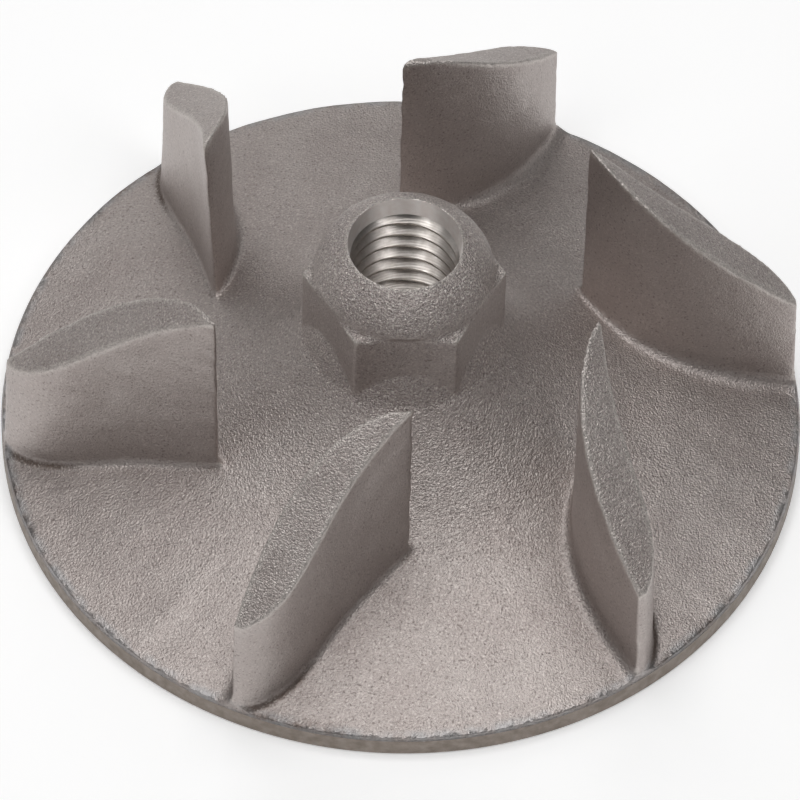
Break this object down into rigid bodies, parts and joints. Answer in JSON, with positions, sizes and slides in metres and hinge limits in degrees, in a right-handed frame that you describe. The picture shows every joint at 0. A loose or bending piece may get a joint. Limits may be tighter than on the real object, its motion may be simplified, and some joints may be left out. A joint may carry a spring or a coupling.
{
  "type": "pump impeller",
  "caption": "One-piece cast open impeller: flared round plate, backswept upright vanes, hexagonal boss and rounded nose with a threaded shaft bore.",
  "frame": {"origin": "centre of the flat underside, on the shaft axis", "axes": "+Z along the shaft axis towards the nose; a corner of the hexagon on +X"},
  "size_m": [0.045, 0.045, 0.0174],
  "materials": {
    "cast_steel": "blasted matt"
  },
  "bodies": {
    "root": {"impeller": "cast_steel"}
  },
  "joints": []
}
